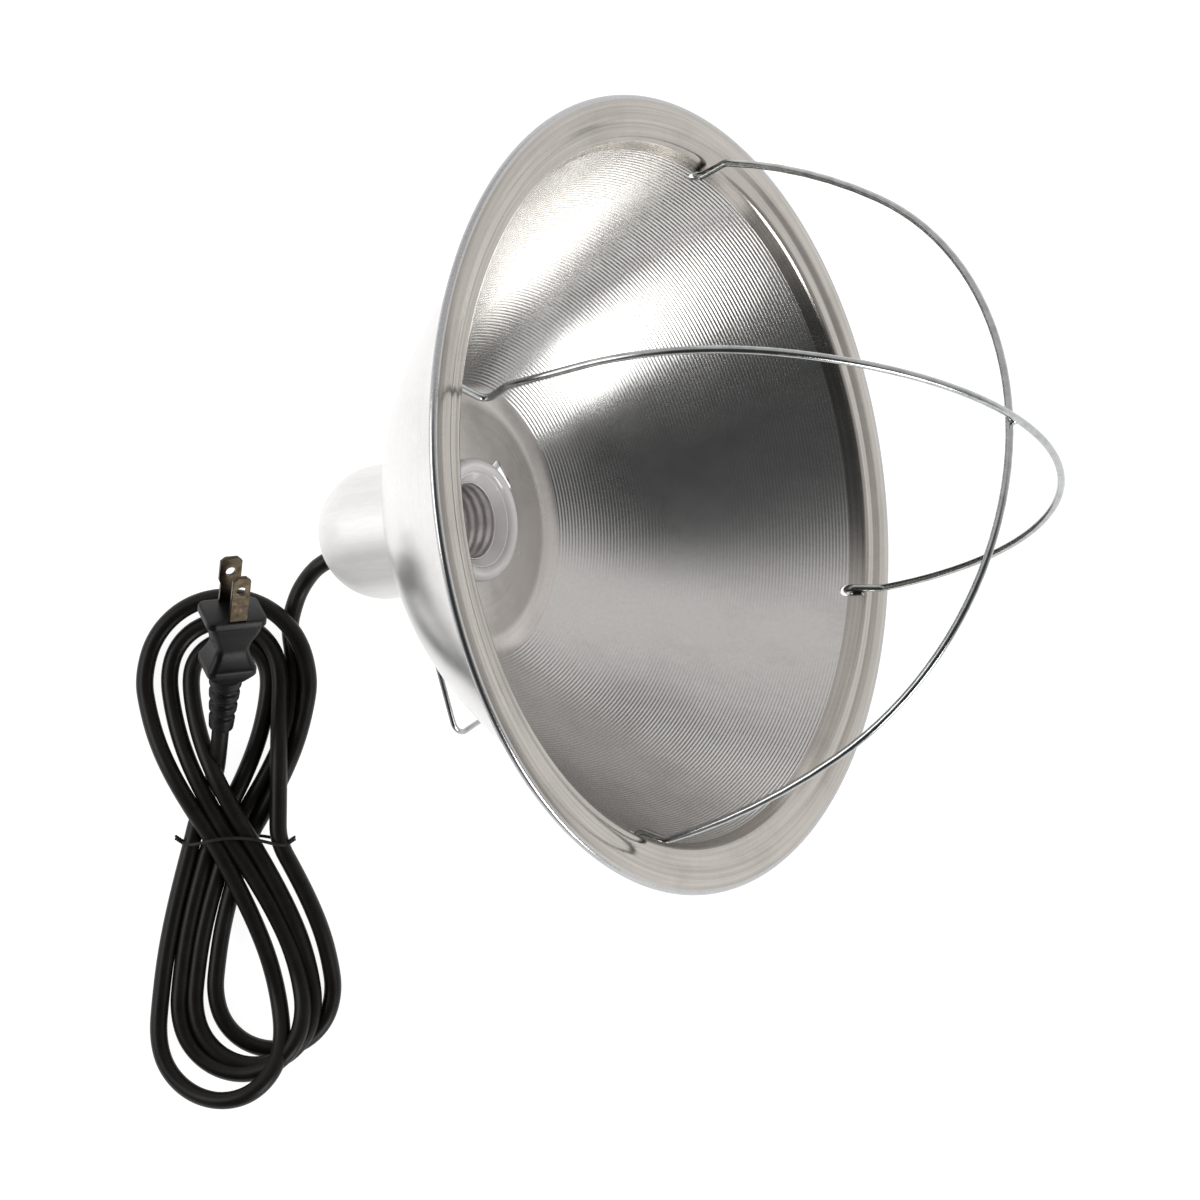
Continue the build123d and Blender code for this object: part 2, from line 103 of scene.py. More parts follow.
# ---------------------------------------------------------------- materials
class Paint:
    """A procedural material with short calls for its nodes."""

    def __init__(self, name, colour, metallic=0.0, roughness=0.5):
        self.material = bpy.data.materials.new(name)
        self.material.use_nodes = True
        self.tree = self.material.node_tree
        self.surface = self.tree.nodes["Principled BSDF"]
        self.surface.inputs["Base Color"].default_value = (*colour, 1)
        self.surface.inputs["Metallic"].default_value = metallic
        self.surface.inputs["Roughness"].default_value = roughness

    def node(self, kind, **settings):
        made = self.tree.nodes.new(kind)
        for name, value in settings.items():
            setattr(made, name, value)
        return made

    def link(self, source, target):
        self.tree.links.new(source, target)

    def sockets(self, node, **values):
        for name, value in values.items():
            node.inputs[name.replace("_", " ")].default_value = value
        return node

    def place(self, kind="Object"):
        return self.node("ShaderNodeTexCoord").outputs[kind]

    def stretched(self, scale):
        """Places in the lamp's own frame, scaled along its axes."""
        turned = self.node("ShaderNodeMapping")
        turned.inputs["Location"].default_value = LAMP.inverted().to_translation()
        turned.inputs["Rotation"].default_value = LAMP.inverted().to_euler()
        self.link(self.place(), turned.inputs["Vector"])
        mapping = self.node("ShaderNodeMapping")
        mapping.inputs["Scale"].default_value = scale
        self.link(turned.outputs["Vector"], mapping.inputs["Vector"])
        return mapping.outputs["Vector"]

    def rings(self, across, around):
        """Places for marks that run round the lamp: across per millimetre of profile, around per metre."""
        profile = self.node("ShaderNodeSeparateXYZ")
        self.link(self.place("UV"), profile.inputs["Vector"])
        scaled = self.node("ShaderNodeMath", operation="MULTIPLY")
        scaled.inputs[1].default_value = across
        self.link(profile.outputs["Y"], scaled.inputs[0])
        turned = self.node("ShaderNodeSeparateXYZ")
        self.link(self.stretched((around, around, 0)), turned.inputs["Vector"])
        joined = self.node("ShaderNodeCombineXYZ")
        self.link(turned.outputs["X"], joined.inputs["X"])
        self.link(turned.outputs["Y"], joined.inputs["Y"])
        self.link(scaled.outputs["Value"], joined.inputs["Z"])
        return joined.outputs["Vector"]

    def noise(self, scale, detail=3.0, roughness=0.5, vector=None):
        noise = self.node("ShaderNodeTexNoise")
        self.sockets(noise, Scale=scale, Detail=detail, Roughness=roughness)
        self.link(vector or self.place(), noise.inputs["Vector"])
        return noise.outputs["Fac"]

    def spread(self, value, low, high, into_low=0.0, into_high=1.0):
        spread = self.node("ShaderNodeMapRange")
        self.sockets(spread, From_Min=low, From_Max=high, To_Min=into_low, To_Max=into_high)
        self.link(value, spread.inputs["Value"])
        return spread.outputs["Result"]

    def colours(self, value, *stops):
        ramp = self.node("ShaderNodeValToRGB")
        bands = ramp.color_ramp.elements
        for position, colour in stops[1:-1]:
            bands.new(position)
        for band, (position, colour) in zip(bands, stops):
            band.position = position
            band.color = (*colour, 1)
        self.link(value, ramp.inputs["Fac"])
        return ramp.outputs["Color"]

    def multiply(self, first, second):
        mix = self.node("ShaderNodeMix", data_type="RGBA", blend_type="MULTIPLY")
        mix.inputs["Factor"].default_value = 1.0
        self.link(first, mix.inputs["A"])
        self.link(second, mix.inputs["B"])
        return mix.outputs["Result"]

    def bump(self, height, depth, under=None):
        bump = self.node("ShaderNodeBump")
        bump.inputs["Strength"].default_value = 1.0
        bump.inputs["Distance"].default_value = depth
        self.link(height, bump.inputs["Height"])
        if under is not None:
            self.link(under, bump.inputs["Normal"])
        self.link(bump.outputs["Normal"], self.surface.inputs["Normal"])
        return bump.outputs["Normal"]


def streaked_metal(name, base, roughness, streak_scale, ridge_pitch=0.0, ridge_depth=0.0,
                   brushing=0.0, dark=1.0):
    """Spun aluminium with streaks from the centre to the rim.

    Ridges and brush marks run round the lamp. Their depths and pitch are in millimetres, as is V of
    the UV map, the distance along the profile. dark is the shade of the deepest brush marks."""
    paint = Paint(name, base, metallic=1.0, roughness=roughness)
    split = paint.node("ShaderNodeSeparateXYZ")
    paint.link(paint.place("UV"), split.inputs["Vector"])
    around = paint.noise(streak_scale, 5.0, 0.65, paint.stretched((1, 1, 0.03)))
    darker, lighter = [c * 0.86 for c in base], [min(1, c * 1.06) for c in base]
    tint = paint.colours(around, (0.30, darker), (0.5, base), (0.72, lighter))
    fine = paint.noise(900.0, 2.0, 0.6, paint.stretched((1, 1, 0.2)))
    shade = paint.colours(fine, (0.2, (0.93, 0.93, 0.94)), (0.8, (1, 1, 1)))
    colour = paint.multiply(tint, shade)
    under = paint.bump(paint.noise(45.0, 1.0, 0.4), 0.00003)
    if brushing:
        brushed = paint.noise(1.0, 4.0, 0.65, paint.rings(0.9, 9.0))
        marks = paint.colours(brushed, (0.32, (dark, dark, dark)), (0.66, (1, 1, 1)))
        colour = paint.multiply(colour, marks)
        under = paint.bump(brushed, brushing * MM, under)
    paint.link(colour, paint.surface.inputs["Base Color"])
    gloss = paint.spread(around, 0.25, 0.75, roughness * 0.85, roughness * 1.2)
    paint.link(gloss, paint.surface.inputs["Roughness"])
    if ridge_pitch:
        turns = paint.node("ShaderNodeMath", operation="MULTIPLY")
        turns.inputs[1].default_value = 2 * math.pi / ridge_pitch
        paint.link(split.outputs["Y"], turns.inputs[0])
        wave = paint.node("ShaderNodeMath", operation="SINE")
        paint.link(turns.outputs["Value"], wave.inputs[0])
        paint.bump(paint.spread(wave.outputs["Value"], -1, 1), ridge_depth * MM, under)
    return paint.material


def porcelain():
    paint = Paint("porcelain", (0.88, 0.87, 0.86), roughness=0.12)
    cloud = paint.noise(70.0, 3.0, 0.5)
    paint.link(paint.colours(cloud, (0.3, (0.76, 0.74, 0.735)), (0.7, (0.83, 0.81, 0.80))),
               paint.surface.inputs["Base Color"])
    paint.sockets(paint.surface, Coat_Weight=0.6, Coat_Roughness=0.04, Subsurface_Weight=0.08)
    paint.surface.inputs["Subsurface Radius"].default_value = (0.002, 0.0018, 0.0016)
    paint.bump(paint.noise(160.0, 2.0, 0.5), 0.00003)
    return paint.material


def plated_wire(name, base, roughness):
    paint = Paint(name, base, metallic=1.0, roughness=roughness)
    patches = paint.noise(220.0, 4.0, 0.6)
    darker, lighter = [c * 0.72 for c in base], [min(1, c * 1.1) for c in base]
    paint.link(paint.colours(patches, (0.25, darker), (0.55, base), (0.8, lighter)),
               paint.surface.inputs["Base Color"])
    gloss = paint.spread(patches, 0.2, 0.8, roughness * 0.7, roughness * 1.5)
    paint.link(gloss, paint.surface.inputs["Roughness"])
    paint.bump(paint.noise(900.0, 2.0, 0.6), 0.00002)
    return paint.material


def brass():
    paint = Paint("brass", (0.78, 0.68, 0.50), metallic=1.0, roughness=0.22)
    patches = paint.noise(300.0, 4.0, 0.6)
    paint.link(paint.colours(patches, (0.3, (0.62, 0.55, 0.42)), (0.7, (0.86, 0.78, 0.62))),
               paint.surface.inputs["Base Color"])
    paint.bump(paint.noise(1200.0, 2.0, 0.5), 0.00001)
    return paint.material


def black_vinyl(name, base, roughness, grain):
    paint = Paint(name, base, roughness=roughness)
    patches = paint.noise(140.0, 4.0, 0.6)
    paint.link(paint.colours(patches, (0.3, [c * 0.75 for c in base]), (0.75, [c * 1.35 for c in base])),
               paint.surface.inputs["Base Color"])
    gloss = paint.spread(patches, 0.25, 0.75, roughness * 0.88, roughness * 1.15)
    paint.link(gloss, paint.surface.inputs["Roughness"])
    paint.surface.inputs["Specular IOR Level"].default_value = 0.2
    paint.bump(paint.noise(grain, 3.0, 0.6), 0.00004)
    return paint.material


def blade_metal():
    paint = Paint("blade_metal", (0.10, 0.08, 0.055), metallic=1.0, roughness=0.3)
    stain = paint.noise(380.0, 4.0, 0.65)
    stains = (0.3, (0.028, 0.022, 0.015)), (0.55, (0.06, 0.047, 0.032)), (0.8, (0.14, 0.112, 0.078))
    paint.link(paint.colours(stain, *stains), paint.surface.inputs["Base Color"])
    lines = paint.noise(2500.0, 2.0, 0.5, paint.stretched((1, 0.05, 0.05)))
    paint.bump(lines, 0.00001)
    return paint.material


def plain(name, base, roughness, metallic=0.0, scale=400.0):
    """A quiet material with a little mottling."""
    paint = Paint(name, base, metallic=metallic, roughness=roughness)
    mottle = paint.noise(scale, 4.0, 0.6)
    darker, lighter = [c * 0.85 for c in base], [min(1, c * 1.1) for c in base]
    paint.link(paint.colours(mottle, (0.3, darker), (0.7, lighter)), paint.surface.inputs["Base Color"])
    paint.bump(mottle, 0.00003)
    return paint.material


WALL = streaked_metal("aluminium_ribbed", (0.62, 0.61, 0.59), 0.23, 22.0,
                      ridge_pitch=1.2, ridge_depth=0.042)
DISH = streaked_metal("aluminium_dish", (0.64, 0.61, 0.575), 0.24, 30.0, brushing=0.005, dark=0.92)
# A darker copy of the bowl's aluminium on the lip: painted shade. Its ring marks are random tone.
LIP_PAINTED_SHADE = streaked_metal("aluminium_lip_painted_shade", (0.50, 0.47, 0.43), 0.19, 26.0, brushing=0.026, dark=0.72)
# A lighter copy of the bowl's aluminium on the outside: painted light.
OUTSIDE_PAINTED_LIGHT = streaked_metal("aluminium_outside_painted_light", (0.82, 0.81, 0.795), 0.24, 18.0, brushing=0.006, dark=0.94)
# A darker copy of the bowl's aluminium on the rolled hem: painted shade.
HEM_PAINTED_SHADE = plain("hem_edge_painted_shade", (0.46, 0.46, 0.465), 0.2, metallic=1.0, scale=1500.0)
DOME = streaked_metal("aluminium_dome", (0.90, 0.895, 0.88), 0.5, 40.0)
DOME.node_tree.nodes["Principled BSDF"].inputs["Metallic"].default_value = 0.45
ZINC = plated_wire("zinc_wire", (0.44, 0.455, 0.45), 0.16)
PORCELAIN = porcelain()
BRASS = brass()
SHELL = plated_wire("plated_shell", (0.88, 0.85, 0.85), 0.34)
STEEL = plated_wire("zinc_steel", (0.55, 0.55, 0.56), 0.3)
CORD_BLACK = black_vinyl("cord_jacket", (0.0075, 0.0065, 0.0055), 0.38, 700.0)
PLUG_BLACK = black_vinyl("plug_vinyl", (0.0045, 0.0042, 0.004), 0.36, 1600.0)
TIE_BLACK = black_vinyl("tie_paper", (0.02, 0.019, 0.018), 0.6, 3000.0)
BLADE = blade_metal()
FIBRE = plain("fibre", (0.26, 0.14, 0.08), 0.8)
INSULATION = plain("insulation", (0.75, 0.75, 0.72), 0.4)


# ---------------------------------------------------------------- making pieces
def adopt(piece, nodes, body="fixture", materials=(), matrix=None):
    """Link a piece, place it, hang it on the body it rides on and hide the CAD nodes it stands for."""
    bpy.context.scene.collection.objects.link(piece)
    if matrix is not None:
        piece.data.transform(matrix)
    for material in materials:
        piece.data.materials.append(material)
    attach(piece, body)
    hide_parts(*nodes)
    return piece


def arc(start, middle, end, count):
    """Points of the circular arc through three points."""
    (ax, ay), (bx, by), (cx, cy) = start, middle, end
    d = 2 * (ax * (by - cy) + bx * (cy - ay) + cx * (ay - by))
    a2, b2, c2 = ax * ax + ay * ay, bx * bx + by * by, cx * cx + cy * cy
    ux = (a2 * (by - cy) + b2 * (cy - ay) + c2 * (ay - by)) / d
    uy = (a2 * (cx - bx) + b2 * (ax - cx) + c2 * (bx - ax)) / d
    radius = math.hypot(ax - ux, ay - uy)
    first = math.atan2(ay - uy, ax - ux)
    last = math.atan2(cy - uy, cx - ux)
    through = math.atan2(by - uy, bx - ux)
    turn = math.remainder(last - first, 2 * math.pi)
    if math.remainder(through - first, 2 * math.pi) * turn < 0:
        turn -= math.copysign(2 * math.pi, turn)
    angles = [first + turn * k / count for k in range(count + 1)]
    return [(ux + radius * math.cos(angle), uy + radius * math.sin(angle)) for angle in angles]


def rounded(points, radius, count):
    """A polyline with its inner corners rounded."""
    out = [points[0]]
    for before, corner, after in zip(points, points[1:], points[2:]):
        a, b, c = Vector(before), Vector(corner), Vector(after)
        into, away = (a - b).normalized(), (c - b).normalized()
        half = into.angle(away) / 2
        reach = radius / math.tan(half)
        centre = b + (into + away).normalized() * (radius / math.sin(half))
        start, end = b + into * reach, b + away * reach
        middle = centre + (b - centre).normalized() * radius
        out += arc(tuple(start), tuple(middle), tuple(end), count)
    return out + [points[-1]]


def lathe(name, outline, segments, bands=None, smooth_angle=40):
    """A turned piece from a closed outline of (radius, z) points in millimetres.

    bands gives the material of each edge of the outline."""
    mesh = bpy.data.meshes.new(name)
    shape = bmesh.new()
    uv = shape.loops.layers.uv.new("UVMap")
    rings = []
    for k in range(segments):
        turn = 2 * math.pi * k / segments
        rings.append([shape.verts.new((r * MM * math.cos(turn), r * MM * math.sin(turn), z * MM))
                      for r, z in outline])
    travel = [0.0]
    for before, after in zip(outline, outline[1:] + outline[:1]):
        travel.append(travel[-1] + math.hypot(after[0] - before[0], after[1] - before[1]))
    for k in range(segments):
        ring, following = rings[k], rings[(k + 1) % segments]
        for j in range(len(outline)):
            n = (j + 1) % len(outline)
            face = shape.faces.new((ring[j], following[j], following[n], ring[n]))
            face.smooth = True
            face.material_index = bands[j] if bands else 0
            for loop, (u, v) in zip(face.loops, ((k, j), (k + 1, j), (k + 1, j + 1), (k, j + 1))):
                loop[uv].uv = (u / segments, travel[v])
    bmesh.ops.remove_doubles(shape, verts=shape.verts, dist=1e-7)
    bmesh.ops.recalc_face_normals(shape, faces=shape.faces)
    shape.to_mesh(mesh)
    shape.free()
    mesh.set_sharp_from_angle(angle=math.radians(smooth_angle))
    return bpy.data.objects.new(name, mesh)


def rod(radius, length, matrix, segments=48):
    """A bare cutter cylinder, centred on its matrix and along its Z."""
    mesh = bpy.data.meshes.new("cutter")
    shape = bmesh.new()
    bmesh.ops.create_cone(shape, cap_ends=True, segments=segments, radius1=radius * MM,
                          radius2=radius * MM, depth=length * MM)
    shape.to_mesh(mesh)
    shape.free()
    cutter = bpy.data.objects.new("cutter", mesh)
    cutter.matrix_world = matrix
    return cutter


def block(size, matrix):
    """A box-shaped cutter, centred on its matrix."""
    mesh = bpy.data.meshes.new("cutter")
    shape = bmesh.new()
    bmesh.ops.create_cube(shape, size=1.0, matrix=Matrix.Diagonal((*[s * MM for s in size], 1)))
    shape.to_mesh(mesh)
    shape.free()
    cutter = bpy.data.objects.new("cutter", mesh)
    cutter.matrix_world = matrix
    return cutter


def cut(piece, cutters):
    """Take the cutters out of the piece's mesh. All are given in the piece's own frame."""
    scene = bpy.context.scene
    for thing in (piece, *cutters):
        scene.collection.objects.link(thing)
    for cutter in cutters:
        step = piece.modifiers.new("cut", "BOOLEAN")
        step.operation = "DIFFERENCE"
        step.solver = "EXACT"
        step.object = cutter
    bpy.context.view_layer.update()
    done = bpy.data.meshes.new_from_object(piece.evaluated_get(bpy.context.evaluated_depsgraph_get()))
    piece.modifiers.clear()
    piece.data = done
    for thing in (piece, *cutters):
        scene.collection.objects.unlink(thing)
    for cutter in cutters:
        bpy.data.objects.remove(cutter)
    return piece


def curve(name, points, radius, order=0, cyclic=False, bevel=6):
    """A round wire or cord through (or, with an order, guided by) points in metres."""
    data = bpy.data.curves.new(name, "CURVE")
    data.dimensions = "3D"
    data.bevel_depth = radius
    data.bevel_resolution = bevel
    data.use_fill_caps = True
    spline = data.splines.new("NURBS" if order else "POLY")
    spline.points.add(len(points) - 1)
    for point, place in zip(spline.points, points):
        point.co = (*place, 1)
    spline.use_cyclic_u = cyclic
    if order:
        spline.order_u = order
        spline.use_endpoint_u = not cyclic
        data.resolution_u = 8
    spline.use_smooth = True
    return bpy.data.objects.new(name, data)


def loft(name, sections, smooth_angle=35):
    """A closed skin over rings of equal point count, capped at both ends. Points in millimetres."""
    mesh = bpy.data.meshes.new(name)
    shape = bmesh.new()
    rings = [[shape.verts.new([c * MM for c in point]) for point in section] for section in sections]
    count = len(rings[0])
    for low, high in zip(rings, rings[1:]):
        for k in range(count):
            shape.faces.new((low[k], low[(k + 1) % count], high[(k + 1) % count], high[k]))
    shape.faces.new(list(reversed(rings[0])))
    shape.faces.new(rings[-1])
    for face in shape.faces:
        face.smooth = True
    bmesh.ops.recalc_face_normals(shape, faces=shape.faces)
    shape.to_mesh(mesh)
    shape.free()
    mesh.set_sharp_from_angle(angle=math.radians(smooth_angle))
    return bpy.data.objects.new(name, mesh)


# ---------------------------------------------------------------- reflector
def reflector():
    """The spun bowl: dish, ridged wall and stepped lip in front, one sheet thick, hemmed at the rim."""
    dish = [(NECK_HOLE_R, DISH_Z), (30.0, DISH_Z), (40.7, DISH_Z)]
    crease = arc(dish[-1], (44.8, -89.39), WALL_START, 8)[1:]
    shallow = arc(WALL_START, (63.8, -76.5), WALL_JOIN, 26)[1:]
    steep = arc(WALL_JOIN, (99.8, -34.6), WALL_END, 40)[1:]
    corner = rounded([WALL_END, (118.63, -0.9), (124.0, -0.9)], 3.0, 10)[1:-1]
    ledge = arc(corner[-1], (121.6, -1.05), (123.7, -0.85), 4)[1:]
    crown = arc((125.1, -0.15), (128.6, 0.3), (131.7, -0.15), 12)
    front = dish + crease + shallow + steep + corner + ledge + crown
    back = []
    for before, here, after in zip(front[:1] + front, front, front[1:] + front[-1:]):
        along = (Vector(after) - Vector(before)).normalized()
        back.append((here[0] + along.y * SHEET, here[1] - along.x * SHEET))
    hem_at = RIM_R - HEM_R
    hem = [(hem_at + HEM_R * math.sin(a), -HEM_R + HEM_R * math.cos(a))
           for a in (math.radians(10 + 14 * k) for k in range(19))]
    outline = front + hem + list(reversed(back))
    # One sheet of aluminium in five materials: the lighter outside is painted light, the darker lip and hem
    # are painted shade.
    materials = (WALL, DISH, LIP_PAINTED_SHADE, OUTSIDE_PAINTED_LIGHT, HEM_PAINTED_SHADE)
    runs = [(DISH, len(dish) + len(crease) - 1), (WALL, len(shallow) + len(steep)),
            (LIP_PAINTED_SHADE, len(corner) + len(ledge) + len(crown)), (HEM_PAINTED_SHADE, len(hem) + 1), (OUTSIDE_PAINTED_LIGHT, len(back))]
    bands = [materials.index(material) for material, count in runs for _ in range(count)]
    bowl = lathe("reflector_bowl", outline, segments=256, bands=bands)
    cutters = []
    for angle in SLOT_ANGLES:
        turn = Matrix.Rotation(math.radians(angle), 4, "Z")
        cutters.append(block(SLOT_SIZE, turn @ Matrix.Translation((SLOT_R * MM, 0, DISH_Z * MM))))
    hole = Matrix.Translation((GUARD_HOLE_AT * MM, 0, GUARD_Z * MM)) @ Matrix.Rotation(math.pi / 2, 4, "Y")
    for angle in (OUTER_HOOP_ANGLE, OUTER_HOOP_ANGLE - 180, INNER_HOOP_ANGLE, INNER_HOOP_ANGLE - 180):
        turn = Matrix.Rotation(math.radians(angle), 4, "Z")
        cutters.append(rod(GUARD_HOLE_R, 14, turn @ hole))
    cut(bowl, cutters)
    return adopt(bowl, ["reflector"], materials=materials, matrix=LAMP)


# ---------------------------------------------------------------- guard and bail
class Bender:
    """Lays a wire out in a plane as straight runs and arcs, in millimetres."""

    def __init__(self, x, y):
        self.points = [Vector((x, y))]
        self.heading = 0.0

    def run(self, length):
        step = Vector((math.cos(self.heading), math.sin(self.heading))) * length
        self.points.append(self.points[-1] + step)

    def bend(self, radius, degrees):
        turn = math.radians(degrees)
        side = math.copysign(1, turn)
        centre = self.points[-1] + radius * side * Vector((-math.sin(self.heading), math.cos(self.heading)))
        arm = self.points[-1] - centre
        steps = max(3, round(abs(degrees) / 3))
        for k in range(1, steps + 1):
            self.points.append(centre + Matrix.Rotation(turn * k / steps, 2) @ arm)
        self.heading += turn


def guard_leg(apex, bends, straight, knee):
    """One leg of a hoop from its apex: bends, a straight run, a knee inward and a foot through its hole."""
    leg = Bender(0, apex)
    for radius, degrees in bends:
        leg.bend(radius, -degrees)
    if straight:
        leg.run(straight)
    leg.bend(KNEE_R, -knee)
    drop = FOOT_R * (1 - math.cos(leg.heading))
    leg.run((leg.points[-1].y - drop) / -math.sin(leg.heading))
    leg.bend(FOOT_R, -math.degrees(leg.heading))
    leg.run(GUARD_TAIL_R - leg.points[-1].x)
    return leg.points


def guard_hoop(name, node, angle, lean, apex, right, left):
    flat = [Vector((-x, y)) for x, y in reversed(guard_leg(apex, *left))] + guard_leg(apex, *right)[1:]
    turn = Matrix.Rotation(math.radians(angle), 3, "Z") @ Matrix.Rotation(math.radians(-lean), 3, "X")
    points = [Vector((0, 0, GUARD_Z * MM)) + turn @ Vector((x * MM, 0, y * MM)) for x, y in flat]
    hoop = curve(name, points, WIRE_R * MM)
    return adopt(hoop, [node], materials=(ZINC,), matrix=LAMP)


def guard():
    """Two crossed hoops. One leg of the outer hoop is sprung inward."""
    round_leg = ([(120.0, 89.0)], 0, 34.0)
    sprung_leg = ([(120.0, 45.0), (75.0, 46.8)], 27.4, 23.6)
    even_leg = ([(109.0, 60.0), (210.0, 18.0)], 0, 31.6)
    guard_hoop("guard_wire_outer", "guard_hoop_outer", OUTER_HOOP_ANGLE, 4.6, 132.2, round_leg, sprung_leg)
    guard_hoop("guard_wire_inner", "guard_hoop_inner", INNER_HOOP_ANGLE, 0.0, 129.7, even_leg, even_leg)


def bail():
    """A planar wire loop: two pins that point at each other, two legs and a crossbar."""
    path = Bender(BAIL_PIN_IN, 0)
    path.run(BAIL_HALF - BAIL_PIN_BEND - BAIL_PIN_IN)
    path.bend(BAIL_PIN_BEND, 90)
    path.run(BAIL_LEG - BAIL_PIN_BEND - BAIL_CORNER)
    path.bend(BAIL_CORNER, 90)
    path.run(2 * BAIL_HALF - 2 * BAIL_CORNER)
    path.bend(BAIL_CORNER, 90)
    path.run(BAIL_LEG - BAIL_PIN_BEND - BAIL_CORNER)
    path.bend(BAIL_PIN_BEND, 90)
    path.run(BAIL_HALF - BAIL_PIN_BEND - BAIL_PIN_IN)
    lean = math.radians(BAIL_LEAN)
    across = Matrix.Rotation(math.radians(BAIL_ANGLE), 3, "Z") @ Vector((1, 0, 0))
    out = Matrix.Rotation(math.radians(BAIL_ANGLE + 90), 3, "Z") @ Vector((math.cos(lean), 0, 0))
    out.z = -math.sin(lean)
    points = [Vector((0, 0, PIVOT_Z * MM)) + (across * x + out * y) * MM for x, y in path.points]
    loop = curve("bail_wire", points, BAIL_WIRE_R * MM)
    return adopt(loop, ["bail"], body="bail", materials=(ZINC,), matrix=LAMP)


# ---------------------------------------------------------------- socket, dome and bushing
def socket_ring():
    crest = arc(NOSE, (19.2, -84.5), (RING_R, NOSE[1]), 18)
    outline = [(NOSE[0], DISH_Z)] + crest + [(RING_R, DISH_Z)]
    ring = lathe("porcelain_ring", outline, segments=128)
    return adopt(ring, ["socket_ring"], materials=(PORCELAIN,), matrix=LAMP)


def socket_body():
    recess_r, recess_z, mouth_z, mouth_r = 5.8, -121.0, -89.7, 16.3
    neck = (NOSE[0], SOCKET_SHOULDER_Z)
    outline = [(0, recess_z), (recess_r, recess_z), (recess_r, SHELL_FLOOR_Z), (SOCKET_BORE_R, SHELL_FLOOR_Z)]
    outline += rounded([(SOCKET_BORE_R, -92.5), (SOCKET_BORE_R, mouth_z), (mouth_r, NOSE[1]), NOSE, neck],
                       0.24, 4)
    outline += rounded([neck, (SOCKET_R, SOCKET_SHOULDER_Z), (SOCKET_R, SOCKET_BACK_Z), (0, SOCKET_BACK_Z)],
                       0.5, 4)[1:]
    body = lathe("porcelain_body", outline, segments=128)
    return adopt(body, ["socket_body"], materials=(PORCELAIN,), matrix=LAMP)


def screw_shell():
    """A thin plated sleeve rolled into a thread, and its turned-in floor."""
    mesh = bpy.data.meshes.new("screw_shell_thread")
    shape = bmesh.new()
    around, rows, wall = 120, 110, 0.35
    skins = []
    for offset in (0.0, wall):
        skin = []
        for row in range(rows + 1):
            z = SHELL_FLOOR_Z + (SHELL_FRONT_Z - SHELL_FLOOR_Z) * row / rows
            fade = min(1.0, (z - SHELL_FLOOR_Z) / 2.5, (SHELL_FRONT_Z - z) / 1.6)
            ring = []
            for k in range(around):
                turn = 2 * math.pi * k / around
                wave = math.cos(2 * math.pi * z / SHELL_PITCH - turn)
                r = 13.25 + offset * 0.9 - fade * 0.3 * (1 + wave)
                ring.append(shape.verts.new((r * MM * math.cos(turn), r * MM * math.sin(turn), z * MM)))
            skin.append(ring)
        skins.append(skin)
    inner, outer = skins
    for skin in skins:
        for low, high in zip(skin, skin[1:]):
            for k in range(around):
                shape.faces.new((low[k], low[(k + 1) % around], high[(k + 1) % around], high[k]))
    for low, high in ((inner[0], outer[0]), (inner[-1], outer[-1])):
        for k in range(around):
            shape.faces.new((low[k], low[(k + 1) % around], high[(k + 1) % around], high[k]))
    for face in shape.faces:
        face.smooth = True
    bmesh.ops.recalc_face_normals(shape, faces=shape.faces)
    shape.to_mesh(mesh)
    shape.free()
    mesh.set_sharp_from_angle(angle=math.radians(50))
    shell = bpy.data.objects.new("screw_shell_thread", mesh)
    top = SHELL_FLOOR_Z + 0.4
    ring = [(6.5, SHELL_FLOOR_Z), (13.2, SHELL_FLOOR_Z), (13.2, top), (6.5, top)]
    floor = lathe("screw_shell_floor", ring, segments=96)
    adopt(floor, ["screw_shell"], materials=(SHELL,), matrix=LAMP)
    return adopt(shell, ["screw_shell"], materials=(SHELL,), matrix=LAMP)


def dome_cap():
    """A round-ended drawn cap with its cord hole and two screw holes."""
    skirt = [(DOME_R - SHEET, DOME_FRONT_Z), (DOME_R, DOME_FRONT_Z)]
    outside = [(DOME_R * math.cos(a), DOME_CENTRE_Z - DOME_R * math.sin(a))
               for a in (math.radians(3 * k) for k in range(31))]
    inside = [(max(r - SHEET * math.cos(math.radians(3 * k)), 0), z + SHEET * math.sin(math.radians(3 * k)))
              for k, (r, z) in enumerate(outside)]
    outline = skirt + outside + list(reversed(inside))
    cap = lathe("dome_shell", outline, segments=160)
    local_exit = LAMP.to_3x3().transposed() @ EXIT_DIR
    aim = local_exit.to_track_quat("Z", "Y").to_matrix().to_4x4()
    middle = Vector((0, 0, DOME_CENTRE_Z * MM)) + local_exit * DOME_R * MM
    cutters = [rod(CORD_HOLE_R, 12, Matrix.Translation(middle) @ aim)]
    for angle in (90, 270):
        turn = Matrix.Rotation(math.radians(angle), 4, "Z")
        side = Matrix.Translation((DOME_R * MM, 0, DOME_SCREW_Z * MM))
        hole = turn @ side @ Matrix.Rotation(math.pi / 2, 4, "Y")
        cutters.append(rod(DOME_SCREW_R, 6, hole, segments=24))
    cut(cap, cutters)
    return adopt(cap, ["dome_cap"], materials=(DOME,), matrix=LAMP)


def bushing():
    """A moulded grommet that narrows towards the cord, with its flange inside the dome."""
    outline = [(CORD_R, 20.6), (6.0, 20.6), (6.0, 22.2), (4.4, 22.4), (4.4, 24.1)]
    outline += arc((4.4, 24.1), (4.25, 24.75), (3.75, 25.2), 5)[1:] + [(3.3, 25.4), (CORD_R, 25.2)]
    sleeve = lathe("cord_grommet", outline, segments=64)
    aim = EXIT_DIR.to_track_quat("Z", "Y").to_matrix().to_4x4()
    place = Matrix.Translation(DOME_CENTRE) @ aim
    return adopt(sleeve, ["cord_bushing"], materials=(PLUG_BLACK,), matrix=place)


